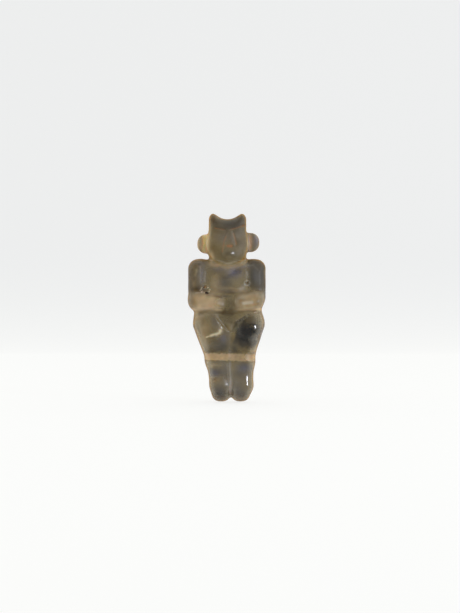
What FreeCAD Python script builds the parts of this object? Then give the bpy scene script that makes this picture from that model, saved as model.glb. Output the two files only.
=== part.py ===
"""Carved stone fertility figure, 63.5 mm tall: one carving of clear smoky stone, and the mineral
inclusions that it encloses.

Frame: +Z up, the figure faces -Y, and +X is the figure's left. The origin is on the floor,
under the middle of the figure's box.
"""

import FreeCAD, Part

import math
import os

from FreeCAD import Vector

# ---------------------------------------------------------------------------------------------
# Driving dimensions, in millimetres
# ---------------------------------------------------------------------------------------------
# Heights, stacked from the soles up
leg_height = 30.7  # soles to waist
trunk_height = 17.2  # waist to shoulder tops
head_height = 18.2  # chin to horn tips
chin_drop = 2.6  # how far the chin hangs below the shoulder tops

# The figure leans: how far the middle of each mass stands off the middle of the arms
foot_x = 1.6
knee_x = 1.25
hip_x = 0.85
head_x = 0.35
face_x = 1.0  # the face is carved a little to the figure's left of the head's middle

# Legs: each is two tapered limbs that meet at the knee
thigh_radius = 6.1
thigh_drop = 4.7  # thick end of the thigh below the waist
knee_radius = 4.3
knee_level = 15.0  # above the soles
knee_overlap = 5.6  # between the round ends of thigh and shin
calf_radius = 4.2
foot_radius = 3.3
leg_overlap = 0.15  # how far each leg crosses the parting into the other
sole_cut = 0.7  # rounding ground off under each foot, so that the figure stands

# Trunk, hips, belly and neck
trunk_width = 21.6
trunk_front = 4.5
trunk_back = 4.6
trunk_round = 4.0
hip_width = 22.4
hip_front = 4.2
hip_back = 5.0
hip_rise = 2.4  # hips above the waist, inside the trunk
hip_height = 8.4
belly_radius = 5.3
belly_span = 4.4
neck_width = 12.2
neck_depth = 7.6
neck_round = 3.4

# Arms: upper arm down the side, forearm across the belly
arm_span = 26.0  # across both elbows
shoulder_radius = 3.3
elbow_radius = 3.7
forearm_radius = 2.35
forearm_rise = 2.5  # forearm's middle line above the waist
hand_radius = 2.15
elbow_front = 6.1  # how far forward the forearm reaches at the elbow
elbow_tuck = 1.2  # forearm's round end inside the elbow's outline
hand_front = 6.9  # and at the hand
hand_gap = 4.7  # belly showing between the two hands
hand_gap_x = 1.0

# Head: a horned crown over a round jaw
head_front = 6.1
head_back = 5.1
jaw_radius = 6.7
jaw_round = 2.7
horn_span = 9.2  # between the horn tips
horn_radius = 1.55
horn_round = 1.4  # rounding of the crown's front and back rims
crown_dip = 2.2  # depth of the dip between the horns

# Ears: round discs on short stems
ear_radius = 3.2
ear_depth = 4.4
ear_round = 1.7
ear_span = 20.7  # across both ears
ear_x = 0.6
ear_level = 8.3  # ear's middle above the chin
ear_skew = 0.2  # the left ear is this much higher, and the right one lower
stem_radius = 1.9

# Face
brow_level = 12.9  # above the chin
brow_length = 3.4
brow_rise = 0.6  # outer end of the brow above its inner end
brow_gap = 2.4  # between the two brows
brow_radius = 0.55
brow_stand = 0.3
nose_level = 6.7  # underside of the nose above the chin
nose_height = 5.9
nose_width = 3.8
nose_stand = 0.95
bridge_width = 1.7
bridge_stand = 0.35
socket_level = 10.1
socket_span = 6.0
socket_radius = 2.4
socket_depth = 0.4

# Breasts, each with a drilled pit
pit_span = 13.6
pit_rise_right = 7.0  # above the waist
pit_rise_left = 8.9
pit_mouth_radius = 0.95
pit_tip_radius = 0.3
pit_depth = 1.5
breast_radius = 3.5
breast_lift = 1.3  # breast's middle above its pit
breast_stand = 0.55

# Inclusions
cloud_radius = 3.6
cloud_end_radius = 2.7
cloud_length = 4.6  # between the cloud's two round ends
cloud_drop = 0.6  # upper end below the thick end of the thigh
feather_length = 4.6
feather_thickness = 0.5
feather_tilt = -24.0  # degrees, seen from the front
feather_in = 1.0  # nearer the parting than the thigh's middle line
feather_drop = 3.6  # below the thick end of the thigh
feather_forward = 2.2
veil_length = 5.2
veil_thickness = 0.45
veil_tilt = -18.0
veil_x = 2.1
veil_drop = 5.2  # below the shoulder tops
veil_cover = 2.6  # stone in front of it
lens_tip = 35.0  # degrees that feather and veil tip towards the front
grain_radius = 0.32
grain_cover = 0.25  # stone between the pit's tip and the grain

# ---------------------------------------------------------------------------------------------
# Levels that follow from them
# ---------------------------------------------------------------------------------------------
waist_z = leg_height
thigh_z = waist_z - thigh_drop
shoulder_z = waist_z + trunk_height
chin_z = shoulder_z - chin_drop
crown_z = chin_z + head_height

SIDES = (-1, 1)  # the figure's right, then its left


def block(x_range, y_range, z_range, radius):
    """A box with every edge rounded."""
    low = Vector(x_range[0], y_range[0], z_range[0])
    sides = [end - start for start, end in (x_range, y_range, z_range)]
    box = Part.makeBox(*sides, low)
    return box.makeFillet(min(radius, 0.48 * min(sides)), box.Edges)


def disc(middle, radius, y_range, rounding):
    """A round disc that faces front, with both rims rounded."""
    thickness = y_range[1] - y_range[0]
    base = Vector(middle[0], y_range[0], middle[1])
    plain = Part.makeCylinder(radius, thickness, base, Vector(0, 1, 0))
    rims = [edge for edge in plain.Edges if isinstance(edge.Curve, Part.Circle)]
    return plain.makeFillet(min(rounding, 0.48 * thickness), rims)


def limb(start, end, start_radius, end_radius):
    """A tapered limb with round ends, turned about the line from start to end."""
    start, end = Vector(*start), Vector(*end)
    length = (end - start).Length
    slope = math.asin((start_radius - end_radius) / length)

    def on_ball(level, radius, angle):
        return Vector(radius * math.cos(angle), 0, level + radius * math.sin(angle))

    bottom, low = on_ball(0, start_radius, -math.pi / 2), on_ball(0, start_radius, slope)
    high, top = on_ball(length, end_radius, slope), on_ball(length, end_radius, math.pi / 2)
    outline = [
        Part.Arc(bottom, on_ball(0, start_radius, slope / 2 - math.pi / 4), low).toShape(),
        Part.makeLine(low, high),
        Part.Arc(high, on_ball(length, end_radius, slope / 2 + math.pi / 4), top).toShape(),
        Part.makeLine(top, bottom),
    ]
    solid = Part.Face(Part.Wire(outline)).revolve(Vector(0, 0, 0), Vector(0, 0, 1), 360)
    solid.Placement = FreeCAD.Placement(start, FreeCAD.Rotation(Vector(0, 0, 1), end - start))
    return solid


def lens(middle, length, thickness, tilt):
    """A thin round lens lying edge-on to the front and tipped towards it."""
    ball_radius = (length**2 + thickness**2) / (4 * thickness)
    offset = Vector(0, 0, ball_radius - thickness / 2)
    upper, lower = (Part.makeSphere(ball_radius, middle + way * offset) for way in (1, -1))
    shape = upper.common(lower)
    shape.rotate(middle, Vector(1, 0, 0), lens_tip)
    shape.rotate(middle, Vector(0, 1, 0), tilt)
    return shape


def make_trunk():
    """Chest, hips, belly and neck."""
    half_width = trunk_width / 2
    chest = block((-half_width, half_width), (-trunk_front, trunk_back), (waist_z, shoulder_z), trunk_round)
    hips_top = waist_z + hip_rise
    hips = block(
        (hip_x - hip_width / 2, hip_x + hip_width / 2),
        (-hip_front, hip_back),
        (hips_top - hip_height, hips_top),
        trunk_round,
    )
    belly_right, belly_left = ((hip_x + side * belly_span / 2, 0, waist_z) for side in SIDES)
    belly = limb(belly_right, belly_left, belly_radius, belly_radius)
    neck = block(
        (head_x - neck_width / 2, head_x + neck_width / 2),
        (-neck_depth / 2, neck_depth / 2),
        (chin_z, shoulder_z + jaw_radius / 2),
        neck_round,
    )
    return [chest, hips, belly, neck]


def leg_middle(x, side, radius, level):
    """Middle of a leg's round section: the two legs cross the parting at x by leg_overlap each."""
    return (x + side * (radius - leg_overlap), 0, level)


def make_leg(side):
    """Thigh and shin, each a tapered limb."""
    knee_half = (knee_radius + calf_radius - knee_overlap) / 2
    thigh = limb(
        leg_middle(hip_x, side, thigh_radius, thigh_z),
        leg_middle(knee_x, side, knee_radius, knee_level + knee_half),
        thigh_radius,
        knee_radius,
    )
    shin = limb(
        leg_middle(knee_x, side, calf_radius, knee_level - knee_half),
        leg_middle(foot_x, side, foot_radius, foot_radius - sole_cut),
        calf_radius,
        foot_radius,
    )
    return [thigh, shin]


def make_arm(side):
    """Upper arm down the side of the trunk, and forearm across the belly with the hand at its end."""
    forearm_z = waist_z + forearm_rise
    upper = limb(
        (side * (arm_span / 2 - elbow_radius), 0, forearm_z - forearm_radius + elbow_radius),
        (side * (arm_span / 2 - shoulder_radius - 0.1), 0, shoulder_z - shoulder_radius - 0.1),
        elbow_radius,
        shoulder_radius,
    )
    forearm = limb(
        (side * (arm_span / 2 - forearm_radius - elbow_tuck), forearm_radius - elbow_front, forearm_z),
        (hand_gap_x + side * (hand_gap / 2 + hand_radius), hand_radius - hand_front, forearm_z),
        forearm_radius,
        hand_radius,
    )
    return [upper, forearm]


def make_crown(jaw_z):
    """Upper half of the head: a plate with two round horns and a dip between them."""
    horn_z = crown_z - horn_radius
    inner = horn_span / 2
    outer = inner + horn_radius
    dip_reach = (inner**2 + crown_dip**2) / (2 * crown_dip)
    dip_radius = dip_reach - horn_radius
    meet_x = inner * dip_radius / dip_reach
    meet_z = crown_z - crown_dip + dip_radius * (1 - (dip_reach - crown_dip) / dip_reach)
    slant = horn_radius * math.sqrt(0.5)

    def at(x, z):
        return Vector(head_x + x, -head_front, z)

    def horn(side):
        start, middle = at(side * outer, horn_z), at(side * (inner + slant), horn_z + slant)
        return Part.Arc(start, middle, at(side * meet_x, meet_z)).toShape()

    low_z = jaw_z - 0.5
    outline = [
        Part.makeLine(at(-outer, low_z), at(-outer, horn_z)),
        horn(-1),
        Part.Arc(at(-meet_x, meet_z), at(0, crown_z - crown_dip), at(meet_x, meet_z)).toShape(),
        horn(1),
        Part.makeLine(at(outer, horn_z), at(outer, low_z)),
        Part.makeLine(at(outer, low_z), at(-outer, low_z)),
    ]
    plate = Part.Face(Part.Wire(outline)).extrude(Vector(0, head_front + head_back, 0))
    rims = [
        edge
        for edge in plate.Edges
        if edge.BoundBox.YLength < 1e-6 and edge.BoundBox.ZMax > low_z + 1e-6
    ]
    return plate.makeFillet(horn_round, rims)


def make_head():
    """Horned crown over a round jaw."""
    jaw_z = chin_z + jaw_radius
    jaw = disc((head_x, jaw_z), jaw_radius, (-head_front, head_back), jaw_round)
    return make_crown(jaw_z).fuse(jaw).removeSplitter()


def make_ear(side):
    """A round disc on a short stem at one side of the head."""
    level = chin_z + ear_level + side * ear_skew
    middle_x = ear_x + side * (ear_span / 2 - ear_radius)
    ear = disc((middle_x, level), ear_radius, (-ear_depth / 2, ear_depth / 2), ear_round)
    reach = abs(middle_x - head_x)
    stem = Part.makeCylinder(stem_radius, reach, Vector(head_x, 0, level), Vector(side, 0, 0))
    return [ear, stem]


def make_brow(side):
    """A low ridge that rises outwards."""
    brow_y = brow_radius - head_front - brow_stand
    inner_x = face_x + side * (brow_gap / 2 + brow_radius)
    inner_z = chin_z + brow_level - brow_rise / 2
    inner, outer = (inner_x, brow_y, inner_z), (inner_x + side * brow_length, brow_y, inner_z + brow_rise)
    return limb(inner, outer, brow_radius, brow_radius)


def make_nose():
    """A wedge that is widest and stands out furthest at its underside."""
    sections = []
    for level, width, stand in (
        (nose_level, nose_width, nose_stand),
        (nose_level + nose_height, bridge_width, bridge_stand),
    ):
        ends = [Vector(face_x + side * width / 2, 1 - head_front, chin_z + level) for side in SIDES]
        ridge = Vector(face_x, -head_front - stand, chin_z + level)
        sections.append(Part.makePolygon([ends[0], ridge, ends[1], ends[0]]))
    return Part.makeLoft(sections, True, True)


def carve_sockets(figure):
    """Cuts the two shallow eye sockets."""
    socket_y = socket_depth - head_front - socket_radius
    socket_z = chin_z + socket_level
    sockets = [
        Part.makeSphere(socket_radius, Vector(face_x + side * socket_span / 2, socket_y, socket_z))
        for side in SIDES
    ]
    return figure.cut(sockets)


def pit_mouth(side):
    """The middle of a pit's mouth, level with the front of the chest."""
    rise = pit_rise_left if side > 0 else pit_rise_right
    return Vector(side * pit_span / 2, -trunk_front, waist_z + rise)


def make_breast(side):
    """A low round mound around and above the pit."""
    middle = pit_mouth(side) + Vector(0, breast_radius - breast_stand, breast_lift)
    return Part.makeSphere(breast_radius, middle)


def drill_pits(figure):
    """Cuts a conical pit in each breast. The cone starts a little outside the stone."""
    lead_in = 2 * breast_stand
    flare = (pit_mouth_radius - pit_tip_radius) / pit_depth
    start_radius = pit_mouth_radius + flare * lead_in
    length = pit_depth + lead_in
    cones = [
        Part.makeCone(
            start_radius, pit_tip_radius, length, pit_mouth(side) - Vector(0, lead_in, 0), Vector(0, 1, 0)
        )
        for side in SIDES
    ]
    return figure.cut(cones)


def grind_soles(figure):
    """Takes off what is below the floor, which leaves a flat under each foot."""
    reach = 2 * arm_span
    below = Part.makeBox(2 * reach, 2 * reach, reach, Vector(-reach, -reach, -reach))
    return figure.cut(below)


def make_cloud():
    """Smoky cloud along the middle line of the left thigh."""
    top = Vector(*leg_middle(hip_x, 1, thigh_radius, thigh_z))
    knee = Vector(*leg_middle(knee_x, 1, knee_radius, knee_level))
    along = (knee - top) * (1 / (knee - top).Length)
    start = top + along * cloud_drop
    return limb(start, start + along * cloud_length, cloud_radius, cloud_end_radius)


def make_inclusions():
    """The bodies that the stone encloses, by node name."""
    right_thigh = Vector(*leg_middle(hip_x, -1, thigh_radius, thigh_z))
    feather_middle = right_thigh + Vector(feather_in, -feather_forward, -feather_drop)
    veil_middle = Vector(veil_x, veil_cover - trunk_front, shoulder_z - veil_drop)
    grain_middle = pit_mouth(-1) + Vector(0, pit_depth + grain_cover + grain_radius, 0)
    return {
        "smoky_cloud": make_cloud(),
        "gold_feather": lens(feather_middle, feather_length, feather_thickness, feather_tilt),
        "blue_veil": lens(veil_middle, veil_length, veil_thickness, veil_tilt),
        "dark_grain": Part.makeSphere(grain_radius, grain_middle),
    }


def make_figure():
    """The whole carving, before the inclusions' places are taken out of it."""
    masses = [*make_trunk(), make_head(), make_nose()]
    for side in SIDES:
        masses += [*make_leg(side), *make_arm(side), *make_ear(side), make_breast(side), make_brow(side)]
    figure = masses[0].multiFuse(masses[1:])
    return grind_soles(drill_pits(carve_sockets(figure)))


def main():
    os.makedirs("parts", exist_ok=True)
    inclusions = make_inclusions()
    figure = make_figure().cut(list(inclusions.values()))
    for name, shape in {"carved_figure": figure, **inclusions}.items():
        box = shape.BoundBox
        print(
            f"{name}: solids {len(shape.Solids)}, valid {shape.isValid()}, volume {shape.Volume:.1f} mm3, "
            f"{box.XLength:.2f} x {box.YLength:.2f} x {box.ZLength:.2f} mm"
        )
        shape.exportStep(f"parts/{name}.step")


main()
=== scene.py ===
import math

import bmesh
import bpy
import numpy as np
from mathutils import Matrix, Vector


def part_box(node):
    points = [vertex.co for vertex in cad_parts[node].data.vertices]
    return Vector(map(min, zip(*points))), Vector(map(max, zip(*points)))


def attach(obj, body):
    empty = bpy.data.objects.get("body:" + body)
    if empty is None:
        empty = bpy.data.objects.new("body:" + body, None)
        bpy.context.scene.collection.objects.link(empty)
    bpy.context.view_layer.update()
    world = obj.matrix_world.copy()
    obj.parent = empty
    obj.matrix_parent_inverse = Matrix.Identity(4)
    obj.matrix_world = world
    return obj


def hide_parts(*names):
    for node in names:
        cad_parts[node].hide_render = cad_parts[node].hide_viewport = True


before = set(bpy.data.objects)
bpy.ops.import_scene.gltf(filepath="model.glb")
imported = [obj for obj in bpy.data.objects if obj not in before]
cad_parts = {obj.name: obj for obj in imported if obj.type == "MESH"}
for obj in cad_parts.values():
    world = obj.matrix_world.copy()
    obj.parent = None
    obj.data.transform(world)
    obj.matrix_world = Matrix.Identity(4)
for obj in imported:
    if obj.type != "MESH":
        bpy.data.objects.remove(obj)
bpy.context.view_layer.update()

# ---------------------------------------------------------------------------------------------
# The carved figure: one pebble of clear smoky quartz, sawn, ground and drilled by hand and then
# rubbed to a satin polish. Its masses are shaped here as they were ground, each one melting into
# the next, and the face, the creases and the drilled rings are cut in afterwards.
# ---------------------------------------------------------------------------------------------
MM = 0.001
SIDES = (-1, 1)  # the figure's right, then its left
stone_low, stone_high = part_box("carved_figure")
top = stone_high.z / MM
shoulder = top - 15.6
waist = shoulder - 17.2
hand_end = {-1: -3.6, 1: 5.7}
breast_height = {-1: waist + 9.0, 1: waist + 10.2}


def melt(a, b, reach):
    """Joins two masses with a ground fillet about reach wide."""
    near = np.maximum(reach - np.abs(a - b), 0) / reach
    return np.minimum(a, b) - near * near * reach / 4


def trim(a, b, reach):
    """What two masses have in common, with its edge rubbed round."""
    return -melt(-a, -b, reach)


def along(p, start, end):
    """How far along the line from start to end each point lies, and its distance from it."""
    way = np.subtract(end, start)
    offset = [axis - first for axis, first in zip(p, start)]
    share = sum(o * w for o, w in zip(offset, way)) / way.dot(way)
    share = np.clip(share, 0, 1)
    return share, np.sqrt(sum((o - share * w) ** 2 for o, w in zip(offset, way)))


def limb(p, start, end, start_radius, end_radius):
    """A tapered round mass from start to end."""
    share, distance = along(p, start, end)
    return distance - start_radius - share * (end_radius - start_radius)


def slab(p, middle, half, rounding):
    """A block with rounded edges."""
    reach = [np.abs(axis - m) - (h - rounding) for axis, m, h in zip(p, middle, half)]
    outside = np.sqrt(sum(np.maximum(r, 0) ** 2 for r in reach))
    return outside + np.minimum(np.maximum.reduce(reach), 0) - rounding


def egg(p, middle, half):
    """An egg-shaped mass."""
    scaled = np.sqrt(sum(((axis - m) / h) ** 2 for axis, m, h in zip(p, middle, half)))
    steep = np.sqrt(sum(((axis - m) / h**2) ** 2 for axis, m, h in zip(p, middle, half)))
    return scaled * (scaled - 1) / np.maximum(steep, 1e-6)


def fade(value, start, end):
    """0 up to start, 1 from end, and smooth between."""
    share = np.clip((value - start) / (end - start), 0, 1)
    return share * share * (3 - 2 * share)


def stroke(x, z, points, width):
    """1 on a line through points as seen from the front, down to 0 at about width from it."""
    nearest = np.full(np.shape(x), 1e9)
    for start, end in zip(points, points[1:]):
        nearest = np.minimum(nearest, along((x, z), start, end)[1])
    return np.exp(-((nearest / (0.6 * width)) ** 2))


def trunk(p):
    """Chest, hips, belly, neck, seat, upper arms and breasts."""
    chest_middle = shoulder - 7.7
    mass = slab(p, (0.0, 0.1, chest_middle), (10.9, 4.3, 7.7), 3.4)
    mass = melt(mass, slab(p, (0.6, 0.3, waist - 0.7), (11.4, 4.2, 4.3), 3.6), 2.0)
    mass = melt(mass, egg(p, (0.9, -0.2, waist + 0.2), (6.8, 4.7, 5.6)), 1.2)
    mass = melt(mass, slab(p, (0.65, 0.2, shoulder + 0.4), (6.1, 3.9, 3.6), 3.4), 1.2)
    for side in SIDES:
        mass = melt(mass, egg(p, (0.85 + side * 4.6, 1.6, waist - 2.5), (5.2, 4.6, 5.4)), 1.0)
        mass = melt(mass, slab(p, (0.3 + side * 9.7, 0.0, chest_middle), (3.3, 3.75, 7.75), 3.15), 1.3)
        mass = melt(mass, egg(p, (side * 6.3, -2.2, breast_height[side] + 0.6), (3.9, 2.8, 4.0)), 1.8)
    return mass


def legs(p):
    """Full thighs that taper into short shins with rounded ends for feet."""
    hip_radius, knee_radius = 6.15, 4.2
    calf_radius, ankle_radius = 3.92, 3.74
    instep_radius, toe_radius = 3.72, 3.3
    pair = []
    for side in SIDES:
        hip, knee = (0.95 + side * 5.95, -0.1, waist - 4.3), (1.2 + side * 4.15, 0.0, 15.6)
        calf, ankle = (1.55 + side * 3.87, 0.1, 12.4), (1.82 + side * 3.55, -0.35, 5.6)
        foot = (1.62 + side * 3.25, -0.5, 3.25)
        thigh = limb(p, hip, knee, hip_radius, knee_radius)
        shin = limb(p, calf, ankle, calf_radius, ankle_radius)
        toes = limb(p, ankle, foot, instep_radius, toe_radius)
        pair.append(melt(melt(thigh, shin, 3.0), toes, 0.8))
    left_thigh_front = egg(p, (7.9, -3.5, waist - 6.1), (3.4, 3.0, 3.4))
    pair[1] = melt(pair[1], left_thigh_front, 1.6)
    web = limb(p, (1.0, 0.0, waist - 7.0), (1.6, -0.1, 6.8), 4.9, 2.9)
    return melt(melt(*pair, 1.5), web, 1.3)


def forearm(p, side):
    """Forearm across the belly, with a blunt hand."""
    return limb(p, (side * 9.3, -2.5, waist + 3.2), (hand_end[side], -3.3, waist + 2.6), 3.4, 2.7)


def ear(p, side):
    """A round disc, ground thin where it joins the head."""
    x, y, z = p
    disc = slab((x, z), (0.78 + side * 7.15, top - 10.15 + side * 0.25), (3.2, 3.2), 2.85)
    disc = trim(disc, np.abs(y) - 2.3, 1.6)
    groove = 1.5 - np.hypot(x - 0.5 - side * 7.0, np.abs(y) - 3.0)
    return trim(disc, groove, 0.6)


def head(p):
    """Horned crown over a round jaw, with a wedge of a nose and a low muzzle."""
    x, y, z = p
    jaw = egg((x, z), (0.4, top - 11.2), (6.85, 7.0))
    crown = slab((x, z), (0.5, top - 5.9), (6.25, 5.95), 2.3)
    dip_radius = 5.6
    dip = dip_radius - np.hypot(x - 0.5, z - (top - 2.15 + dip_radius))
    outline = trim(melt(jaw, crown, 2.0), dip, 1.3)
    bow = 0.016 * (x - 0.4) ** 2 + 0.010 * (z - top + 9.5) ** 2
    mass = trim(outline, np.abs(y + 0.5) - 5.75 + bow, 3.4)
    nose = limb(p, (1.2, -5.2, top - 5.9), (1.15, -5.25, top - 10.3), 0.7, 1.5)
    muzzle = egg(p, (1.0, -3.6, top - 13.6), (3.9, 3.0, 3.3))
    chin = egg(p, (0.7, -5.65, top - 13.6), (1.9, 1.9, 1.6))
    return melt(melt(melt(mass, nose, 1.0), muzzle, 2.4), chin, 0.8)


def pit_distance(x, z, side):
    """Distance from the middle of a breast's drilled pit, as seen from the front."""
    return np.hypot(x - side * 7.0, (z - breast_height[side] + 0.9) * 1.2)


def cuts(p):
    """How deep the graver cut at each point, in mm: below zero where stone was left standing."""
    x, y, z = p
    front = fade(-y, 1.0, 3.0)
    brow = [(-3.7, top - 5.2), (-0.3, top - 5.8)], [(1.4, top - 5.7), (5.9, top - 4.4)]
    nose = (
        [(0.3, top - 6.4), (-0.6, top - 9.3), (-1.3, top - 13.6)],
        [(2.3, top - 6.4), (3.2, top - 9.5), (3.4, top - 10.8)],
    )
    depth = sum(0.36 * stroke(x, z, line, 0.55) for line in brow)
    depth = depth + sum(0.18 * stroke(x, z, line, 0.6) for line in nose)
    depth = depth + 0.4 * stroke(x, z, [(0.6, top - 11.2), (1.9, top - 11.2)], 0.75)
    for side in SIDES:
        socket = [(1.2 + side * 3.3, top - 7.7), (1.2 + side * 3.7, top - 7.7)]
        depth = depth + 0.35 * stroke(x, z, socket, 2.4)
        depth = depth + 0.3 * stroke(x, z, [(side * 7.2, shoulder - 2.0), (side * 7.9, waist + 8.0)], 2.2)
    groin_right = [(-2.6, waist - 2.2), (-0.4, waist - 5.2), (1.0, waist - 7.0)]
    groin_left = [(6.4, waist - 1.6), (3.2, waist - 3.6), (1.5, waist - 7.0)]
    depth = depth + sum(0.55 * stroke(x, z, line, 0.9) for line in (groin_right, groin_left))
    depth = depth + 0.3 * stroke(x, z, [(-6.6, waist + 5.3), (0.2, waist + 4.8)], 0.6)
    for side in SIDES:
        off = pit_distance(x, z, side)
        depth = depth + 0.9 * np.exp(-((off / 0.5) ** 2)) - 0.12 * np.exp(-(((off - 1.0) / 0.3) ** 2))
    return front * depth


def knee_hollow(p):
    """The hollow across the backs of both knees, 1 mm deep, as a depth in mm."""
    x, y, z = p
    return fade(y, 0.5, 3.0) * np.exp(-(((z - 15.3) / 1.7) ** 2))


def figure(p):
    """The whole carving: below zero inside the stone, in mm."""
    x, y, z = p
    mass = melt(trunk(p), legs(p), 0.8)
    for side in SIDES:
        mass = melt(mass, forearm(p, side), 1.5)
        mass = melt(mass, ear(p, side), 0.6)
    mass = melt(mass, head(p), 0.9)
    hand_wobble = 0.03 * np.sin(0.9 * x + 0.5 * z) * np.sin(0.8 * y - 0.7 * z + 1.0)
    return trim(mass + cuts(p) + knee_hollow(p) + hand_wobble, -z, 0.8)


def skin(shape, low, high, step):
    """Closed quad mesh of a shape's surface, as points and faces: one point in each crossed cell."""
    ticks = [np.arange(a, b + step, step) for a, b in zip(low, high)]
    value = shape([axis.astype(np.float32) for axis in np.meshgrid(*ticks, indexing="ij")])
    inside = value < 0
    cell_shape = [len(axis) - 1 for axis in ticks]
    corner = [(i, j, k) for i in (0, 1) for j in (0, 1) for k in (0, 1)]

    def shifted(array, offset):
        return array[tuple(slice(o, o + n) for o, n in zip(offset, cell_shape))]

    count = sum(shifted(inside, c).astype(np.int8) for c in corner)
    cells = np.argwhere((count > 0) & (count < 8))
    number = np.full(cell_shape, -1)
    number[tuple(cells.T)] = np.arange(len(cells))
    total = np.zeros((len(cells), 3))
    crossings = np.zeros(len(cells))
    for first in corner:
        for axis in range(3):
            if first[axis]:
                continue
            second = tuple(c + (n == axis) for n, c in enumerate(first))
            a = value[tuple((cells + first).T)]
            b = value[tuple((cells + second).T)]
            crossed = (a < 0) != (b < 0)
            share = np.where(crossed, a / np.where(crossed, a - b, 1), 0)
            at = np.array(first, float) + share[:, None] * (np.arange(3) == axis)
            total += at * crossed[:, None]
            crossings += crossed
    points = np.array(low) + step * (cells + total / crossings[:, None])
    faces = []
    for axis in range(3):
        others = [n for n in range(3) if n != axis]
        near = np.take(inside, range(cell_shape[axis]), axis)
        far = np.take(inside, range(1, cell_shape[axis] + 1), axis)
        edges = np.argwhere(near != far)
        last = np.array(cell_shape)[others]
        edges = edges[(edges[:, others] > 0).all(1) & (edges[:, others] < last).all(1)]
        ring = []
        for back in ((1, 1), (0, 1), (0, 0), (1, 0)):
            cell = edges.copy()
            cell[:, others] -= back
            ring.append(number[tuple(cell.T)])
        ring = np.stack(ring, 1)
        leaving = near[tuple(edges.T)] ^ (axis == 1)
        faces.append(np.where(leaving[:, None], ring, ring[:, ::-1]))
    return points, np.concatenate(faces)


def slope(shape, points, gap=0.02):
    """Which way a shape's distance grows, at each point."""
    ways = []
    for axis in range(3):
        step = gap * (np.arange(3) == axis)
        ways.append(shape((points + step).T) - shape((points - step).T))
    return np.stack(ways, 1) / (2 * gap)


def settle(shape, points, rounds=3):
    """Moves points onto a shape's surface."""
    for _ in range(rounds):
        way = slope(shape, points)
        squared = np.maximum((way**2).sum(1), 0.05)
        points = points - np.clip(shape(points.T) / squared, -0.3, 0.3)[:, None] * way
    return points


def piece(name, points, faces):
    """A smooth-shaded mesh piece from points in mm."""
    mesh = bpy.data.meshes.new(name)
    mesh.from_pydata((np.asarray(points) * MM).tolist(), [], np.asarray(faces).tolist())
    mesh.validate()
    mesh.polygons.foreach_set("use_smooth", [True] * len(mesh.polygons))
    obj = bpy.data.objects.new(name, mesh)
    bpy.context.scene.collection.objects.link(obj)
    return obj


def mark(obj, name, values):
    """Stores one number a point on a piece, for its material to read."""
    layer = obj.data.attributes.new(name, "FLOAT", "POINT")
    layer.data.foreach_set("value", np.asarray(values, np.float32))


mesh_step = 0.27
margin = 0.8
stone_points, stone_faces = skin(
    figure,
    [stone_low[n] / MM - margin for n in range(3)],
    [stone_high[n] / MM + margin for n in range(3)],
    mesh_step,
)
stone_points = settle(figure, stone_points)
carved_stone = piece("carved_stone", stone_points, stone_faces)


def spots(x, z, places):
    """Soft-edged round zones in the XZ plane, from (x, z, half width, half height, strength)."""
    clear = np.ones_like(x)
    for middle_x, middle_z, half_x, half_z, strength in places:
        reach = ((x - middle_x) / half_x) ** 2 + ((z - middle_z) / half_z) ** 2
        clear *= 1 - strength * np.exp(-reach)
    return 1 - clear


def frost(p):
    """Where the graver and the drill left the stone unpolished, 0 to 1; the pale orange patch under the
    nose is partly painted light, where the underside of the nose catches it.
    """
    x, y, z = p
    front = fade(-y, 1.0, 3.0)
    brows = [(-3.7, top - 5.2), (-0.6, top - 5.7)], [(1.6, top - 5.7), (5.9, top - 4.4)]
    cheeks = (
        [(0.0, top - 8.0), (-0.6, top - 9.3), (-1.2, top - 13.0)],
        [(2.5, top - 7.0), (3.2, top - 9.5), (3.4, top - 10.6)],
    )
    left = sum(0.55 * stroke(x, z, line, 0.42) for line in brows + cheeks)
    # painted light: the pale patch under the nose, partly a frosted cut and partly light caught by the
    # nose's underside
    left = left + stroke(x, z, [(0.8, top - 11.2), (1.8, top - 11.2)], 0.75)
    left = left + 0.3 * stroke(x, z, [(0.2, top - 11.0), (-0.6, top - 11.0)], 0.5)
    return np.clip(front * left, 0, 1)


def ragged(x, z, size, seed):
    """A few waves laid over each other, about size long, between -1 and 1."""
    total = 0.0
    for n in range(5):
        angle, scale = seed + 2.4 * n, 6.3 * (1.0 + 0.37 * n) / size
        total = total + np.sin(scale * (x * math.cos(angle) + z * math.sin(angle)) + 1.7 * n + seed) / 5
    return total


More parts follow.
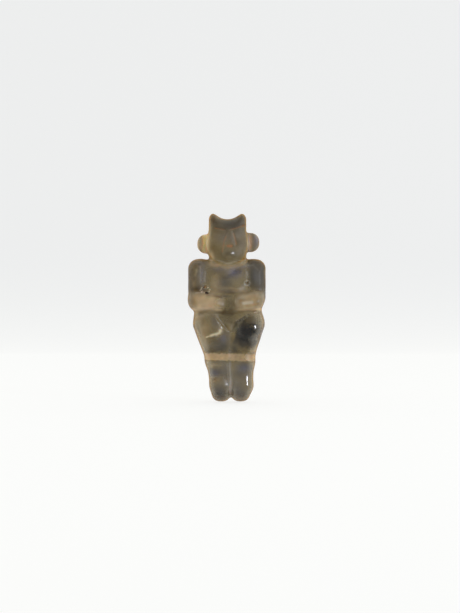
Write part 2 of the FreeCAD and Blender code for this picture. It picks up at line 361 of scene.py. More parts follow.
def smoke_and_painted_shade(p):
    """Blue-grey smoky tone, 0 to 1: partly the stone's own, partly painted shade where refraction makes
    the thick masses look dark, as at the top of the forehead and in the middles of the shins.
    """
    x, y, z = p
    x, z = x + 0.35 * ragged(x, z, 3.5, 1.0), z + 0.35 * ragged(x, z, 2.5, 2.0)
    return spots(
        x,
        z,
        [
            # painted shade: the top of the forehead and the middles of the shins are darkened as
            # refraction darkens them
            (1.4, top - 3.6, 4.5, 2.0, 0.7),
            (-1.6, top - 8.4, 2.6, 2.2, 0.45),
            (3.8, top - 8.4, 2.6, 4.4, 0.5),
            (-8.7, top - 10.2, 0.7, 2.6, 0.6),
            (9.9, top - 9.8, 1.3, 2.7, 0.9),
            (-8.0, shoulder - 5.4, 1.6, 4.4, 0.6),
            (9.3, shoulder - 3.8, 1.9, 4.4, 0.7),
            (11.2, shoulder - 7.0, 1.2, 3.4, 0.4),
            (-3.0, shoulder - 3.6, 2.6, 1.3, 0.55),
            (2.6, shoulder - 5.0, 3.6, 2.4, 0.6),
            (-1.0, shoulder - 7.8, 3.4, 2.2, 0.6),
            (0.6, waist + 6.8, 6.0, 0.9, 0.4),
            (-3.8, waist - 3.6, 1.4, 2.6, 0.7),
            (-0.6, 21.2, 1.7, 2.6, 0.85),
            (-3.6, 19.0, 3.2, 1.4, 0.5),
            (-3.7, 10.2, 2.1, 1.6, 0.95),
            (-2.6, 13.6, 2.9, 0.25, 0.4),
            (-0.6, 11.2, 1.4, 3.0, 0.6),
            (6.2, 11.8, 1.9, 1.5, 0.95),
            (5.6, 10.4, 2.6, 2.6, 0.6),
            (-2.3, 3.6, 1.8, 2.3, 0.9),
            (4.6, 3.6, 3.0, 2.4, 0.7),
            (1.2, 15.2, 0.6, 1.8, 0.6),
            (1.5, 6.5, 6.0, 7.0, 0.45),
        ],
    )


def grains_and_painted_shade(p):
    """Where dark mineral grains crowd the stone, 0 to 1: above all one leaning oval in the thigh. Painted
    shade is mixed in: the oval is partly the dark that refraction through the round thigh gives, and
    there are painted dark spots at the top of the forehead, on the left upper arm, along the outer rims
    of the arms, in the left breast's pit, between the hands, in the V between the thighs and along the
    crease over the forearms.
    """
    x, y, z = p
    across, up = x - 8.0, z - 23.2
    lean = across - 0.2 * up
    oval = np.hypot(lean / 5.1, up / 6.8)
    foot_of_it = np.hypot((x - 4.7) / 3.2, (z - 19.2) / 3.2)
    oval = melt(oval, foot_of_it, 0.3) + 0.07 * ragged(x, z, 1.0, 6.0) + 0.03 * ragged(x, z, 0.6, 6.5)
    # the oval's dark is partly the grains' own and partly painted shade, the dark that refraction through
    # the thigh gives
    core = 0.92 * (1 - fade(oval, 0.72, 1.05)) * (0.12 + 0.88 * fade(8.2 - np.abs(up + 0.8), 2.2, 6.6))
    around = spots(
        x + 0.4 * ragged(x, z, 2.0, 7.0),
        z + 0.4 * ragged(x, z, 2.0, 8.0),
        [
            # painted shade at the top of the forehead
            (1.4, top - 3.2, 5.0, 2.4, 0.95),
            (0.0, 28.2, 2.6, 1.6, 0.3),
            # painted shade in the middle of the left breast's drilled pit
            (7.0, breast_height[1] - 0.9, 0.5, 0.45, 0.7),
            (11.2, 21.5, 1.8, 4.5, 0.7),
            (0.8, top - 13.8, 3.4, 1.6, 0.6),
            # painted shade darkening the side of the left upper arm
            (9.2, shoulder - 6.0, 1.9, 4.2, 0.95),
            (11.9, shoulder - 5.6, 1.6, 5.4, 1.0),
            (-5.2, shoulder - 2.2, 1.4, 1.8, 0.3),
            # painted shade in the gap between the hands, along the top of the right forearm and in the V
            # between the thighs
            (1.3, waist + 2.4, 2.1, 2.6, 0.42),
            (-2.6, waist + 4.7, 3.8, 0.4, 0.8),
            (1.6, waist - 3.6, 3.2, 1.9, 0.35),
            (-1.6, 18.6, 2.9, 1.7, 0.7),
            (-3.4, 20.6, 2.4, 0.9, 0.45),
            (3.0, 18.4, 1.6, 1.8, 0.8),
            (-3.4, 10.0, 1.5, 1.0, 0.5),
            (6.3, 12.2, 1.4, 0.8, 0.4),
            (-2.3, 3.2, 1.2, 1.3, 0.4),
            # painted shade along the outer rims of the arms and elbows
            (-12.9, waist + 5.5, 1.0, 5.0, 0.95),
            (-12.6, shoulder - 4.5, 1.4, 5.0, 0.6),
            (13.0, waist + 6.5, 0.8, 5.0, 0.95),
            (-0.5, shoulder - 8.0, 2.2, 1.6, 0.35),
            (9.0, shoulder - 1.6, 2.6, 0.9, 0.5),
            (-9.0, shoulder - 1.4, 2.6, 0.7, 0.4),
        ],
    )
    # painted shade in the crease along the top of the forearms
    painted_crease_shade = 0.75 * stroke(x, z, [(-6.4, waist + 5.1), (-3.0, waist + 4.9), (0.2, waist + 4.6)], 0.45)
    core = core * (0.84 + 0.16 * ragged(x, 0.35 * z, 0.8, 9.0))
    return np.clip(np.maximum(np.maximum(core, painted_crease_shade), around), 0, 1)


def violet(p):
    """Blue-violet patches just under the skin, 0 to 1: partly the healed crack of the blue veil in the
    chest, partly a painted blue-violet sheen, the bluish light the skin reflects, on the chest, the upper
    arms, the ear, the face and the shins.
    """
    x, y, z = p
    shreds = 0.62 + 0.38 * ragged(x, z, 1.8, 10.0)
    places = [
        # painted sheen: bluish reflected light, on the chest and further down elsewhere
        (2.2, shoulder - 4.0, 1.6, 1.4, 0.95),
        (5.2, shoulder - 2.6, 2.6, 0.5, 0.6),
        (4.4, shoulder - 4.8, 1.8, 1.6, 0.4),
        (-1.4, shoulder - 3.2, 2.4, 0.6, 0.35),
        (10.3, top - 8.6, 0.7, 1.6, 0.8),
        (-8.0, shoulder - 5.8, 1.2, 3.6, 0.35),
        (0.4, top - 8.4, 3.2, 2.6, 0.2),
        (-1.2, 21.4, 1.3, 1.2, 0.45),
        (-3.6, 9.8, 1.5, 1.0, 0.35),
        (6.0, 11.6, 1.7, 1.0, 0.4),
    ]
    return np.clip(fade(-y, 0.0, 2.0) * shreds * spots(x, z, places), 0, 1)


def honey_and_painted_glow(p):
    """How warm and clear the stone looks at each point, 0 to 1: partly its own warm banding, partly
    painted glow where light comes through thin places: across the knees, at the waist, round the neck
    under the chin, along the forearms and on the ears.
    """
    x, y, z = p
    bend = z + 0.22 * ragged(x, z, 3.0, 3.0) + 0.03 * (x - 1.3)
    # painted glow: the knee band is partly a growth band of the stone and partly light through the hollow
    # behind the knees
    knee_strength = 0.82 + 0.1 * ragged(x, z, 2.4, 4.0) - 0.16 * fade(x, 1.0, 6.0)
    knee = fade(bend, 13.9, 14.3) * (1 - fade(bend, 16.1, 16.8)) * knee_strength
    thigh_end = 0.3 * np.exp(-(((z - 17.0 - 0.3 * (x - 8.6)) / 1.3) ** 2)) * fade(x, 6.5, 8.5)
    # painted glow along the waist line
    belt = 0.6 * np.exp(-(((z - waist - 0.5) / 0.6) ** 2)) * fade(np.abs(x - 1.1), 1.0, 4.0)
    # painted glow round the neck under the chin
    above_collar = z - (shoulder - 3.8) - 0.055 * (x - 0.8) ** 2
    collar = 0.4 * fade(above_collar, 0.0, 1.0) * (1 - fade(above_collar, 1.8, 2.9))
    collar = collar * fade(7.0 - np.abs(x - 0.6), 0, 1)
    # painted glow along the forearms
    lower_arm = (0.92 - 0.22 * fade(x, 3.0, 7.0)) * np.exp(-(((z - waist - 2.9) / 3.1) ** 4))
    lower_arm = lower_arm * fade(np.abs(x - 1.1), 0.8, 6.0) * (1 - 0.8 * fade(np.abs(x), 8.8, 11.8))
    lower_arm = lower_arm * (0.88 + 0.12 * ragged(x, z, 5.0, 5.0))
    bands = np.maximum.reduce([knee, thigh_end, belt, collar, lower_arm])
    places = [
        # painted glow on the ears, and further down round the neck
        (-7.0, top - 10.2, 1.0, 3.6, 1.0),
        (-6.0, top - 6.5, 0.7, 6.0, 0.7),
        (-9.4, top - 10.4, 1.6, 3.0, 0.5),
        (7.7, top - 9.8, 0.6, 3.2, 0.5),
        (-3.4, shoulder - 7.8, 1.5, 3.4, 0.3),
        (-4.4, shoulder - 11.2, 3.4, 1.4, 0.4),
        (-2.7, shoulder - 1.9, 2.2, 0.8, 0.7),
        (-4.9, shoulder + 0.4, 0.9, 2.0, 0.8),
        (-9.8, waist - 1.0, 1.4, 1.6, 0.5),
        (4.9, waist + 6.9, 2.6, 1.0, 0.6),
        (-6.8, waist - 8.6, 1.6, 3.6, 0.35),
        (-7.2, waist - 5.0, 2.0, 2.2, 0.25),
        (1.2, waist - 5.4, 1.0, 1.4, 0.12),
        (1.5, 5.4, 0.5, 3.0, 0.45),
        (-3.0, 7.5, 2.4, 0.7, 0.3),
        (-4.0, 12.5, 2.0, 0.5, 0.2),
        (0.4, waist + 7.6, 3.0, 0.6, 0.2),
    ]
    return np.clip(np.maximum(bands, spots(x, z, places)), 0, 1)


def amber_and_painted_rim_light(p):
    """Where the stone looks dark gold, 0 to 1: partly its own tone, partly painted rim light, the dark
    gold that refraction gives at the silhouettes of the shoulder tops, the horns, the outer arms and the
    soles.
    """
    x, y, z = p
    x, z = x + 0.4 * ragged(x, z, 3.0, 13.0), z + 0.4 * ragged(x, z, 3.0, 14.0)
    return spots(
        x,
        z,
        [
            # painted rim light along the silhouettes: the outer arms, the shoulder tops, the horns and
            # the soles
            (-12.2, shoulder - 7.0, 2.4, 9.0, 1.0),
            (-7.5, shoulder - 0.8, 5.0, 1.2, 0.9),
            (9.0, shoulder - 0.8, 4.5, 1.1, 0.9),
            (-4.6, top - 2.4, 1.7, 2.0, 0.8),
            (5.0, top - 2.0, 1.3, 1.4, 0.5),
            (12.2, shoulder - 9.5, 1.2, 3.2, 0.6),
            (-10.0, waist + 7.0, 3.2, 1.2, 0.9),
            (-0.6, waist + 6.4, 8.0, 0.6, 0.6),
            (-0.4, waist - 0.4, 5.0, 0.6, 0.8),
            (7.6, waist + 0.4, 4.0, 0.5, 0.4),
            (-3.6, 21.6, 2.2, 0.6, 0.3),
            (-4.4, 17.6, 2.0, 0.8, 0.5),
            (3.2, 17.2, 2.6, 0.6, 0.4),
            (-3.2, 7.3, 2.2, 0.5, 0.5),
            (-9.4, waist - 1.6, 2.2, 2.0, 0.6),
            (-1.8, 0.7, 3.4, 1.7, 0.9),
            (5.0, 0.7, 3.4, 1.7, 0.9),
        ],
    )


def haze_and_painted_highlights(p):
    """Pale marks on the skin, 0 to 1: mostly painted highlights and painted light, along the groin
    grooves, on the shoulders and upper arms, on the left forearm, on the ears, round the lip of the left
    breast's pit and down the groove between the shins, with a few pale patches.
    """
    x, y, z = p
    shreds = 0.7 + 0.3 * ragged(x, z, 1.3, 11.0)
    groin_right = [(-2.9, waist - 2.0), (-1.6, waist - 3.6), (-0.2, waist - 5.6), (0.9, waist - 6.9)]
    groin_left = [(6.2, waist - 1.7), (3.6, waist - 3.4), (2.2, waist - 5.4), (1.6, waist - 7.0)]
    left_shoulder = [(6.0, shoulder - 1.9), (9.2, shoulder - 2.0), (10.6, shoulder - 3.4)]
    # painted highlights: glints along the groin grooves, the shoulders, the upper arms and the left
    # forearm, light on the ears, and painted light down the groove between the shins
    glint_strokes = [  # each with its width and its strength
        (groin_right, 0.5, 0.45),
        (groin_left, 0.4, 0.4),
        (left_shoulder, 0.5, 0.4),
        ([(-2.4, waist - 4.6), (-1.8, waist - 5.8), (-1.3, waist - 7.0)], 0.45, 0.6),
        ([(1.2, waist - 7.4), (1.2, 14.0)], 0.8, 0.3),
        ([(1.3, 13.0), (1.45, 9.0), (1.55, 3.0)], 0.85, 1.0),
        ([(5.8, waist + 2.6), (8.6, waist + 2.9)], 0.9, 1.0),
        ([(8.0, top - 7.4), (8.0, top - 12.6)], 1.0, 1.0),
        ([(10.0, top - 11.6), (10.4, top - 12.0)], 0.6, 0.4),
        ([(0.4, 12.8), (0.6, 8.0), (0.9, 4.0)], 0.6, 0.4),
        ([(-8.6, shoulder - 2.4), (-8.5, shoulder - 7.6)], 0.5, 0.45),
        ([(-6.9, shoulder - 4.2), (-7.1, shoulder - 7.4)], 0.5, 0.55),
        ([(6.6, shoulder - 3.6), (7.4, shoulder - 5.6)], 0.5, 0.45),
        ([(11.2, shoulder - 4.0), (11.4, shoulder - 8.0)], 0.5, 0.3),
        ([(2.8, 13.0), (4.4, 12.2)], 0.4, 0.35),
        ([(2.9, 11.9), (4.6, 11.5)], 0.3, 0.3),
        ([(3.8, 4.6), (4.1, 4.7)], 0.5, 0.35),
        ([(5.0, waist + 7.4), (6.3, waist + 8.2)], 1.3, 0.9),
        ([(6.9, shoulder - 4.4), (6.9, shoulder - 8.2)], 0.5, 0.6),
        ([(-10.0, waist + 6.0), (-7.2, waist + 6.2)], 0.4, 0.5),
    ]
    pale = sum(strength * stroke(x, z, line, width) for line, width, strength in glint_strokes)
    pale_patches = [
        (-8.0, shoulder - 5.0, 1.1, 3.6, 1.0),
        (3.6, 7.0, 2.2, 2.0, 1.0),
        (-6.2, waist + 2.6, 3.4, 1.8, 1.0),
        (-3.0, 12.8, 2.4, 0.8, 1.0),
    ]
    both_ears = [(9.4, top - 10.0, 2.0, 3.0, 1.0), (-8.4, top - 10.2, 1.8, 3.0, 1.0)]
    # painted highlight round the lit lip of the left breast's pit
    pit_lip_highlight = np.exp(-(((pit_distance(x, z, 1) - 0.95) / 0.26) ** 2))
    pale = pale + 0.3 * spots(x, z, pale_patches) + 0.35 * spots(x, z, both_ears) + 0.9 * pit_lip_highlight
    return np.clip(fade(-y, 0.0, 2.0) * pale * shreds, 0, 1)


def feather_and_painted_glints(p):
    """The golden feather seen through the skin, with painted highlights and painted glow, 0 to 1: the
    glint at the feather's right end, the lit rim round the pit in the right breast, the glowing pale
    bands of the ears and the glint on the left forearm.
    """
    x, y, z = p
    vane = 0.9 * stroke(x, z, [(-6.5, 22.0), (-4.8, 22.6)], 0.4)
    vane = np.maximum(vane, stroke(x, z, [(-5.0, 22.5), (-3.4, 23.0)], 0.9))
    # painted highlight: the glint at the feather's right end
    vane = np.maximum(vane, stroke(x, z, [(-3.3, 22.9), (-2.1, 23.4), (-1.9, 24.2)], 1.1))
    # painted highlight: the lit rim round the right breast's pit, in specks
    ring = np.hypot((x + 6.9) / 1.5, (z - waist - 7.0) / 0.95)
    rim_highlight_specks = np.exp(-(((ring - 1) / 0.24) ** 2)) * fade(ragged(x, z, 0.9, 12.0), -0.15, 0.35)
    # painted glow: pale bands down the ears
    ear_glow_bands = stroke(x, z, [(-7.0, top - 7.4), (-7.1, top - 13.0)], 1.2)
    ear_glow_bands = ear_glow_bands + 0.4 * stroke(x, z, [(8.1, top - 7.6), (8.1, top - 12.4)], 0.9)
    # painted highlight along the left forearm
    forearm_glint = 0.45 * stroke(x, z, [(5.8, waist + 2.7), (8.4, waist + 2.9)], 0.7)
    return fade(-y, 0.0, 2.0) * np.clip(vane + rim_highlight_specks + ear_glow_bands + forearm_glint, 0, 1)


def satin(p):
    """Where the rubbing left a duller finish, 0 to 1: on the left shoulder, on the head but for its
    chin, and in patches below."""
    x, y, z = p
    chin_polish = np.exp(-(((x - 2.1) / 1.6) ** 2) - ((z - top + 13.6) / 1.5) ** 2)
    head_rub = fade(z, shoulder - 1.0, shoulder + 0.5) * (1 - 0.62 * chin_polish)
    shoulder_rub = fade(z, waist + 6.0, waist + 8.0) * fade(x, 7.0, 9.0)
    patches = [
        (1.9, waist - 4.8, 2.2, 2.4, 0.95),
        (8.0, 15.4, 1.8, 1.4, 0.95),
        (8.4, 27.6, 2.2, 1.1, 0.9),
        (-2.0, 6.0, 3.6, 4.6, 0.5),
        (-1.6, waist + 2.7, 2.6, 1.8, 0.7),
    ]
    return np.maximum.reduce([head_rub, shoulder_rub, spots(x, z, patches)])


def edge(p):
    """Where the skin faces sideways, up or down, 0 to 1: the rims, which get a painted golden glow
    standing in for the light that refraction brings round the stone's edges.
    """
    x, y, z = p
    ways = slope(figure, np.stack(p, 1))
    facing = np.abs(ways[:, 1]) / np.linalg.norm(ways, axis=1)  # 1 straight to the front or the back
    rims = (1 - fade(facing, 0.3, 0.62)) * (0.7 + 0.3 * fade(facing, 0.05, 0.3))
    # where the painted rim glow is held back: the outer arms and the left thigh
    dark_rims = [
        (-12.6, waist + 8.5, 2.4, 7.5, 0.85),
        (13.1, waist + 7.5, 1.6, 6.0, 0.75),
        (12.4, 24.0, 1.8, 5.0, 0.6),
    ]
    return rims * (1 - spots(x, z, dark_rims))


for zone in (frost, smoke_and_painted_shade, grains_and_painted_shade, violet, honey_and_painted_glow, amber_and_painted_rim_light, haze_and_painted_highlights, feather_and_painted_glints, satin, edge):
    mark(carved_stone, zone.__name__, zone(stone_points.T))
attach(carved_stone, "root")
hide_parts("carved_figure")


def linear(hex_colour, alpha=1.0):
    """An sRGB hex colour as the shader's linear one."""
    values = [int(hex_colour[n : n + 2], 16) / 255 for n in (1, 3, 5)]
    return (*[v / 12.92 if v <= 0.04045 else ((v + 0.055) / 1.055) ** 2.4 for v in values], alpha)


def node(tree, kind, settings=(), links=()):
    """Adds one shader node, sets its properties and sockets, and links into it."""
    made = tree.nodes.new("ShaderNode" + kind)
    for key, value in dict(settings).items():
        if isinstance(key, str) and hasattr(made, key):
            setattr(made, key, value)
        else:
            made.inputs[key].default_value = value
    for key, source in dict(links).items():
        tree.links.new(source, made.inputs[key])
    return made


def noise(tree, size, detail, **settings):
    """Patches about size mm wide all through a piece, from 0 to 1."""
    place = node(tree, "TexCoord").outputs["Object"]
    settings = {"Scale": 1 / (size * MM), "Detail": detail, **settings}
    return node(tree, "TexNoise", settings, {"Vector": place}).outputs["Fac"]


def blend(tree, share, first, second):
    """A colour that goes from first to second as share goes from 0 to 1."""
    ends = {6: linear(first), 7: linear(second)}
    return node(tree, "Mix", {"data_type": "RGBA", **ends}, {0: share}).outputs[2]


def new_material(name):
    """An empty node material: its tree and its output node."""
    material = bpy.data.materials.new(name)
    material.use_nodes = True
    material.node_tree.nodes.clear()
    return material, material.node_tree, node(material.node_tree, "OutputMaterial")


def satin_smoky_quartz():
    """Smoky quartz rubbed to a satin polish and waxed: clear and brown right through, so that thick
    masses go darker, with a fine mist of rubbing marks on the skin. Much of its light and shade is
    painted into its colour: a golden glow at the rims and thin places, highlights, glints and a blue
    sheen, and shade where the masses look dark."""
    material, tree, output = new_material("satin_smoky_quartz")
    clouding = noise(tree, 3.5, 6.0, Roughness=0.65)
    wisps = node(tree, "MapRange", {"From Min": 0.35, "From Max": 0.65}, {"Value": clouding}).outputs[0]
    tint = blend(tree, wisps, "#8a7540", "#b6a57a")
    uneven = node(
        tree,
        "MapRange",
        {"From Min": 0.3, "From Max": 0.7, "To Min": 0.45},
        {"Value": clouding},
    ).outputs[0]
    zone = {}
    # painted light among these colours: the golden glow of the rims and thin places, the pale highlights
    # and glints, the blue-violet sheen, and the shade of the grey and dark zones
    for name, colour, most in (
        ("amber_and_painted_rim_light", "#644a16", 1.0),
        ("smoke_and_painted_shade", "#797777", 0.9),
        ("grains_and_painted_shade", "#4d4940", 0.95),
        ("violet", "#b4b3e0", 0.9),
        ("honey_and_painted_glow", "#f3d5a3", 1.0),
        ("edge", "#a57b38", 1.0),
        ("frost", "#e0a878", 1.0),
        ("haze_and_painted_highlights", "#d8d3cb", 0.85),
        ("feather_and_painted_glints", "#fff0cc", 1.0),
    ):
        zone[name] = node(tree, "Attribute", {"attribute_name": name}).outputs["Fac"]
        share = node(tree, "Math", {"operation": "MULTIPLY", 1: most}, {0: zone[name]}).outputs[0]
        if name == "edge":
            share = node(tree, "Math", {"operation": "MULTIPLY"}, {0: share, 1: uneven}).outputs[0]
        tint = node(tree, "Mix", {"data_type": "RGBA", 7: linear(colour)}, {0: share, 6: tint}).outputs[2]
    # Some zones are milky rather than clear: they scatter the light instead of letting it through, so
    # that the painted glow and highlights in them show.
    milky = zone["honey_and_painted_glow"]
    for name, share in (("edge", 0.8), ("amber_and_painted_rim_light", 0.8), ("frost", 0.8), ("haze_and_painted_highlights", 0.5)):
        milky = node(
            tree, "Math", {"operation": "MULTIPLY_ADD", 1: share}, {0: zone[name], 2: milky}
        ).outputs[0]
    milky = node(
        tree, "Math", {"operation": "ADD", "use_clamp": True}, {0: zone["feather_and_painted_glints"], 1: milky}
    ).outputs[0]
    clear = node(tree, "MapRange", {"To Min": 0.88, "To Max": 0.28}, {"Value": milky}).outputs[0]
    # Rubbing marks, 0.35 mm apart. The wax is worn off the dull patches, the rims and the dark gold
    # zones, and the last two mirror less than fresh polish does.
    rubbed = noise(tree, 0.35, 5.0)
    bump = node(tree, "Bump", {"Strength": 0.012, "Distance": 0.02 * MM}, {"Height": rubbed})
    roughness = node(tree, "MapRange", {"To Min": 0.09, "To Max": 0.17}, {"Value": rubbed}).outputs[0]
    dull = node(tree, "Attribute", {"attribute_name": "satin"}).outputs["Fac"]
    for rough, share in ((dull, 0.42), (zone["frost"], 0.2)):
        roughness = node(
            tree, "Math", {"operation": "MULTIPLY_ADD", 1: share}, {0: rough, 2: roughness}
        ).outputs[0]
    worn = node(tree, "Math", {"operation": "ADD"}, {0: zone["edge"], 1: zone["amber_and_painted_rim_light"]}).outputs[0]
    unwaxed = node(tree, "Math", {"operation": "ADD", "use_clamp": True}, {0: dull, 1: worn}).outputs[0]
    waxed = node(tree, "MapRange", {"To Min": 0.4, "To Max": 0.0}, {"Value": unwaxed})
    mirrored = node(tree, "MapRange", {"To Min": 0.5, "To Max": 0.15}, {"Value": worn})
    surface = node(
        tree,
        "BsdfPrincipled",
        {
            "IOR": 1.544,
            "Coat Roughness": 0.1,
            "Subsurface Weight": 1.0,
            "Subsurface Radius": (1.0, 0.7, 0.4),
            "Subsurface Scale": 5 * MM,
        },
        {
            "Base Color": tint,
            "Roughness": roughness,
            "Normal": bump.outputs[0],
            "Transmission Weight": clear,
            "Coat Weight": waxed.outputs[0],
            "Specular IOR Level": mirrored.outputs[0],
        },
    )
    volume = node(tree, "VolumeAbsorption", {"Color": linear("#cbc0a2"), "Density": 30.0})
    tree.links.new(surface.outputs[0], output.inputs["Surface"])
    tree.links.new(volume.outputs[0], output.inputs["Volume"])
    return material


carved_stone.data.materials.append(satin_smoky_quartz())

# ---------------------------------------------------------------------------------------------
# The smoky cloud: thousands of dark mineral grains that the quartz grew around, thickest in the
# middle of the figure's left thigh. They are sealed in the stone, each where it froze. Their dark
# oval also stands partly for shade, the dark that refraction through the round thigh gives.
# ---------------------------------------------------------------------------------------------
chance = np.random.default_rng(11)
cloud_low, cloud_high = (np.array(corner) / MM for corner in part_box("smoky_cloud"))
cloud_middle = (cloud_low + cloud_high) / 2
cloud_half = (cloud_high - cloud_low) / 2
grain_count = 3600


def turned(count):
    """Random turns, one 3 by 3 matrix each."""
    made, _ = np.linalg.qr(chance.normal(size=(count, 3, 3)))
    return made


def grains(places, sizes):
    """Eight-sided crystals, each stretched and turned at random about its place."""
    corners = np.array([(1, 0, 0), (-1, 0, 0), (0, 1, 0), (0, -1, 0), (0, 0, 1), (0, 0, -1)], float)
    sides = [(0, 2, 4), (2, 1, 4), (1, 3, 4), (3, 0, 4), (2, 0, 5), (1, 2, 5), (3, 1, 5), (0, 3, 5)]
    stretch = sizes[:, None] * chance.uniform(0.5, 1.3, (len(places), 3))
    shaped = corners[None] * stretch[:, None, :]
    shaped = np.einsum("nij,nkj->nki", turned(len(places)), shaped) + places[:, None, :]
    faces = np.array(sides)[None] + 6 * np.arange(len(places))[:, None, None]
    return shaped.reshape(-1, 3), faces.reshape(-1, 3)


grain_way = chance.normal(size=(grain_count, 3))
grain_way /= np.linalg.norm(grain_way, axis=1)[:, None]
grain_reach = chance.uniform(0, 1, grain_count) ** 0.42
grain_place = cloud_middle + grain_way * grain_reach[:, None] * cloud_half * 1.04
grain_size = chance.uniform(0.05, 0.2, grain_count) * (1.25 - 0.6 * grain_reach)
smoke_grains = piece("smoke_grains", *grains(grain_place, grain_size))
smoke_grains.data.polygons.foreach_set("use_smooth", [False] * len(smoke_grains.data.polygons))
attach(smoke_grains, "root")
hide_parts("smoky_cloud")


def dark_ore():
    """Iron ore grown as fine grains: near black and dull, with a brown cast on some faces."""
    material, tree, output = new_material("dark_iron_ore_grains")
    tint = blend(tree, noise(tree, 0.8, 3.0), "#1b1914", "#4a4335")
    surface = node(tree, "BsdfPrincipled", {"Roughness": 0.6}, {"Base Color": tint})
    tree.links.new(surface.outputs[0], output.inputs["Surface"])
    return material


smoke_grains.data.materials.append(dark_ore())

# ---------------------------------------------------------------------------------------------
# The golden feather: a thin crinkled flake of pale mica in the figure's right thigh, torn along
# its lower edge, lying a little tipped back in the stone.
# ---------------------------------------------------------------------------------------------
def flake(name, node_name, length, height, thickness, tilt, lean, tear, crinkle):
    """A thin torn sheet centred on a CAD inclusion, as a closed mesh: tilt is seen from the front,
    and lean tips its top back, in degrees."""
    low, high = (np.array(corner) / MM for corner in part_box(node_name))
    across, up = 60, 22
    u, v = np.meshgrid(np.linspace(-1, 1, across), np.linspace(-1, 1, up), indexing="ij")
    outline = np.sqrt(np.clip(1 - np.abs(u) ** 2.2, 0.0004, 1)) * (0.62 + 0.38 * u)
    torn = 1 + tear * (np.sin(9 * u + 1) + 0.7 * np.sin(23 * u)) * (v < 0)
    sheet_x = u * length / 2
    sheet_z = v * outline * torn * height / 2 + 0.12 * height * np.sin(2.4 * u)
    ripples = np.sin(3.1 * u + 1.7 * v) + 0.5 * np.sin(8.3 * u - 4.1 * v) + 0.3 * np.sin(17 * u + 9 * v)
    wave = crinkle * ripples
    flat = np.stack([sheet_x, wave, sheet_z], -1).reshape(-1, 3)
    rim = np.clip(1 - np.maximum(np.abs(u), np.abs(v)) ** 8, 0.05, 1).reshape(-1)
    half = 0.5 * thickness * rim[:, None] * np.array([0.0, 1.0, 0.0])
    both = np.concatenate([flat - half, flat + half])
    t, n = math.radians(tilt), math.radians(lean)
    turn_y = np.array([[math.cos(t), 0, -math.sin(t)], [0, 1, 0], [math.sin(t), 0, math.cos(t)]])
    turn_x = np.array([[1, 0, 0], [0, math.cos(n), math.sin(n)], [0, -math.sin(n), math.cos(n)]])
    placed = both @ turn_x.T @ turn_y.T + (low + high) / 2
    at = np.arange(across * up).reshape(across, up)
    front = np.stack([at[:-1, :-1], at[1:, :-1], at[1:, 1:], at[:-1, 1:]], -1).reshape(-1, 4)
    loop = np.concatenate([at[:-1, 0], at[-1, :-1], at[:0:-1, -1], at[0, :0:-1]])
    after = np.roll(loop, -1)
    shift = across * up
    border = np.stack([after, loop, loop + shift, after + shift], -1)
    return piece(name, placed, np.concatenate([front, front[:, ::-1] + shift, border]))


feather = flake(
    "golden_feather",
    "gold_feather",
    length=4.9,
    height=1.9,
    thickness=0.07,
    tilt=20.0,
    lean=25.0,
    tear=0.12,
    crinkle=0.10,
)
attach(feather, "root")
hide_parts("gold_feather")


def pale_mica():
    """Pale golden mica: pearly, with fine streaks along the flake."""
    material, tree, output = new_material("pale_golden_mica")
    streaks = noise(tree, 0.5, 4.0, Distortion=1.5)
    tint = blend(tree, streaks, "#c9a868", "#fff0cf")
    bump = node(tree, "Bump", {"Strength": 0.4, "Distance": 0.05 * MM}, {"Height": streaks})
    surface = node(
        tree,
        "BsdfPrincipled",
        {"Roughness": 0.35, "Sheen Weight": 0.3},
        {"Base Color": tint, "Normal": bump.outputs[0]},
    )
    tree.links.new(surface.outputs[0], output.inputs["Surface"])
    return material


feather.data.materials.append(pale_mica())

# ---------------------------------------------------------------------------------------------
# The blue veil: a healed crack high in the chest, where the quartz closed over a film of tiny
# bubbles. It scatters blue light, and it leans back in the stone.
# ---------------------------------------------------------------------------------------------
veil = flake(
    "blue_veil_film",
    "blue_veil",
    length=6.8,
    height=3.0,
    thickness=0.05,
    tilt=14.0,
    lean=30.0,
    tear=0.06,
    crinkle=0.12,
)
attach(veil, "root")
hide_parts("blue_veil")


def bubble_film():
    """A film of bubbles in a healed crack: thin, half clear, blue-violet and patchy."""
    material, tree, output = new_material("blue_bubble_film")
    patches = noise(tree, 1.6, 5.0)
    cover = node(
        tree,
        "MapRange",
        {"From Min": 0.35, "From Max": 0.7, "To Min": 0.05, "To Max": 0.5},
        {"Value": patches},
    )
    tint = blend(tree, patches, "#8d93d6", "#b9bff2")
    surface = node(
        tree, "BsdfPrincipled", {"Roughness": 0.3}, {"Base Color": tint, "Alpha": cover.outputs[0]}
    )
    tree.links.new(surface.outputs[0], output.inputs["Surface"])
    return material


veil.data.materials.append(bubble_film())

# ---------------------------------------------------------------------------------------------
# The dark grain: one black crystal that the drill all but reached, at the bottom of the pit in
# the figure's right breast.
# ---------------------------------------------------------------------------------------------
grain_low, grain_high = (np.array(corner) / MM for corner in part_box("dark_grain"))
grain_shift = np.array([0.4, -2.35, -0.95])  # to where it lies nearer the skin, below the pit
crystal_middle = (grain_low + grain_high) / 2 + grain_shift
crystal_sides = 7
crystal_rings = [(-0.72, 0.05), (-0.5, 0.2), (0.1, 0.3), (0.5, 0.22), (0.75, 0.04)]  # reach, radius
crystal_points = []
for reach, radius in crystal_rings:
    for side in range(crystal_sides):
        angle = 2 * math.pi * side / crystal_sides
        crystal_points.append((reach, radius * math.cos(angle), radius * math.sin(angle) - 0.12 * reach))
crystal_faces = []
for ring in range(len(crystal_rings) - 1):
    here, there = ring * crystal_sides, (ring + 1) * crystal_sides
    for a in range(crystal_sides):
        b = (a + 1) % crystal_sides
        crystal_faces.append([here + a, here + b, there + b, there + a])
black_crystal = piece("black_crystal", np.array(crystal_points) + crystal_middle, crystal_faces)
crystal_mesh = bmesh.new()
crystal_mesh.from_mesh(black_crystal.data)
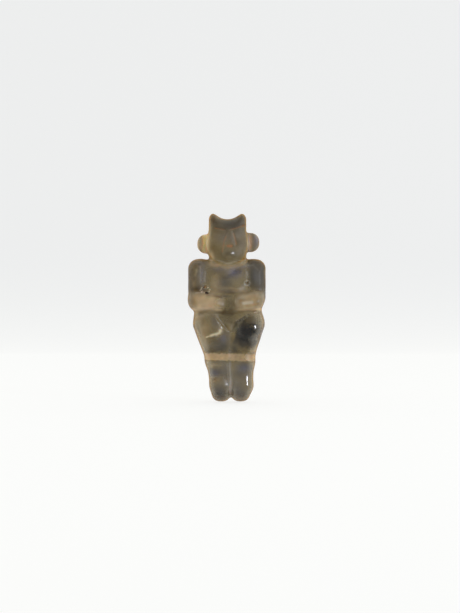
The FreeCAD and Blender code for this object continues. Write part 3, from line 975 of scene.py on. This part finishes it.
bmesh.ops.holes_fill(crystal_mesh, edges=crystal_mesh.edges)
bmesh.ops.recalc_face_normals(crystal_mesh, faces=crystal_mesh.faces)
crystal_mesh.to_mesh(black_crystal.data)
crystal_mesh.free()
black_crystal.data.polygons.foreach_set("use_smooth", [False] * len(black_crystal.data.polygons))
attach(black_crystal, "root")
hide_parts("dark_grain")


def black_tourmaline():
    """Black tourmaline: glassy black faces, faintly mottled."""
    material, tree, output = new_material("black_tourmaline")
    tint = blend(tree, noise(tree, 0.2, 3.0), "#050505", "#15120e")
    surface = node(tree, "BsdfPrincipled", {"Roughness": 0.25}, {"Base Color": tint})
    tree.links.new(surface.outputs[0], output.inputs["Surface"])
    return material


black_crystal.data.materials.append(black_tourmaline())

# ---------------------------------------------------------------------------------------------
# Floor and backdrop: one sheet of opal acrylic, bent up behind the figure and again far in front
# of it. Only the camera sees it, so that the stone's look doesn't hang on how near the sheet is.
# ---------------------------------------------------------------------------------------------
def backlit_acrylic():
    """A sheet of opal acrylic lit evenly from behind, as in a product studio: white and matt."""
    material, tree, output = new_material("backlit_opal_acrylic")
    surface = node(
        tree,
        "BsdfPrincipled",
        {
            "Base Color": linear("#6c6f72"),
            "Roughness": 0.9,
            "Emission Color": linear("#fdfdfb"),
            "Emission Strength": 0.78,
        },
    )
    tree.links.new(surface.outputs[0], output.inputs["Surface"])
    return material


sheet_half_width = 900.0
sheet_front = -900.0
sheet_back = 390.0
sheet_bend = 60.0
sheet_top = 900.0
bend_steps = [math.pi / 2 * step / 12 for step in range(13)]
profile = [(sheet_front, sheet_top)]
for angle in bend_steps:
    profile.append((sheet_front + sheet_bend * (1 - math.cos(angle)), sheet_bend * (1 - math.sin(angle))))
for angle in bend_steps:
    profile.append((sheet_back - sheet_bend * (1 - math.sin(angle)), sheet_bend * (1 - math.cos(angle))))
profile.append((sheet_back, sheet_top))
sheet_points = [(x, y, z) for y, z in profile for x in (-sheet_half_width, sheet_half_width)]
sheet_faces = [(2 * n, 2 * n + 1, 2 * n + 3, 2 * n + 2) for n in range(len(profile) - 1)]
paper_sheet = piece("paper_sheet", sheet_points, sheet_faces)
paper_sheet.data.materials.append(backlit_acrylic())
paper_sheet.visible_transmission = False
paper_sheet.visible_glossy = False
paper_sheet.visible_diffuse = False

# ---------------------------------------------------------------------------------------------
# Studio light and camera: air that is bright all round, dim in front and grey straight behind, a
# low upright softbox to the figure's left, and a long lens a little above the figure's middle.
# ---------------------------------------------------------------------------------------------
world = bpy.data.worlds.new("studio_air")
bpy.context.scene.world = world
world.use_nodes = True
world.node_tree.nodes.clear()
air = world.node_tree
direction = node(air, "TexCoord").outputs["Generated"]
backward = node(air, "SeparateXYZ", {}, {0: direction}).outputs["Y"]
behind = node(
    air,
    "MapRange",
    {"interpolation_type": "SMOOTHSTEP", "From Min": 0.45, "From Max": 0.75},
    {"Value": backward},
)
front = node(
    air,
    "MapRange",
    {"interpolation_type": "SMOOTHSTEP", "From Min": -0.1, "From Max": -0.7},
    {"Value": backward},
)
around = node(
    air,
    "Mix",
    {"data_type": "RGBA", 7: linear("#aeaeae")},
    {0: behind.outputs[0], 6: blend(air, front.outputs[0], "#fffcf3", "#6c737f")},
)
glow = node(air, "Background", {"Strength": 1.45}, {"Color": around.outputs[2]})
node(air, "OutputWorld", {}, {"Surface": glow.outputs[0]})


def softbox(name, place, aim, width, height, power, colour):
    """A softbox at place, turned towards aim, in mm and watts."""
    light = bpy.data.lights.new(name, "AREA")
    light.shape = "RECTANGLE"
    light.size = width * MM
    light.size_y = height * MM
    light.energy = power
    light.color = linear(colour)[:3]
    obj = bpy.data.objects.new(name, light)
    obj.location = Vector(place) * MM
    obj.rotation_euler = (Vector(aim) - Vector(place)).to_track_quat("-Z", "Y").to_euler()
    bpy.context.scene.collection.objects.link(obj)
    return obj


softbox(
    "key_softbox",
    place=(490, -340, 70),
    aim=(0, 0, 20),
    width=110,
    height=130,
    power=1.1,
    colour="#eef2ff",
)

camera_data = bpy.data.cameras.new("camera")
camera = bpy.data.objects.new("camera", camera_data)
bpy.context.scene.collection.objects.link(camera)
bpy.context.scene.camera = camera
camera_distance = 600.0
frame_height = 206.0  # what the frame takes in at the figure
sideways = 1.34
aim = Vector((sideways, 0.0, 32.1))
eye = Vector((sideways, -camera_distance, 45.0))
camera.location = eye * MM
camera.rotation_euler = (aim - eye).to_track_quat("-Z", "Y").to_euler()
camera_data.sensor_fit = "VERTICAL"
camera_data.sensor_height = 24.0
camera_data.lens = camera_data.sensor_height * camera_distance / frame_height
camera_data.clip_start = 0.01
camera_data.clip_end = 10.0
bpy.context.scene.view_settings.view_transform = "Standard"
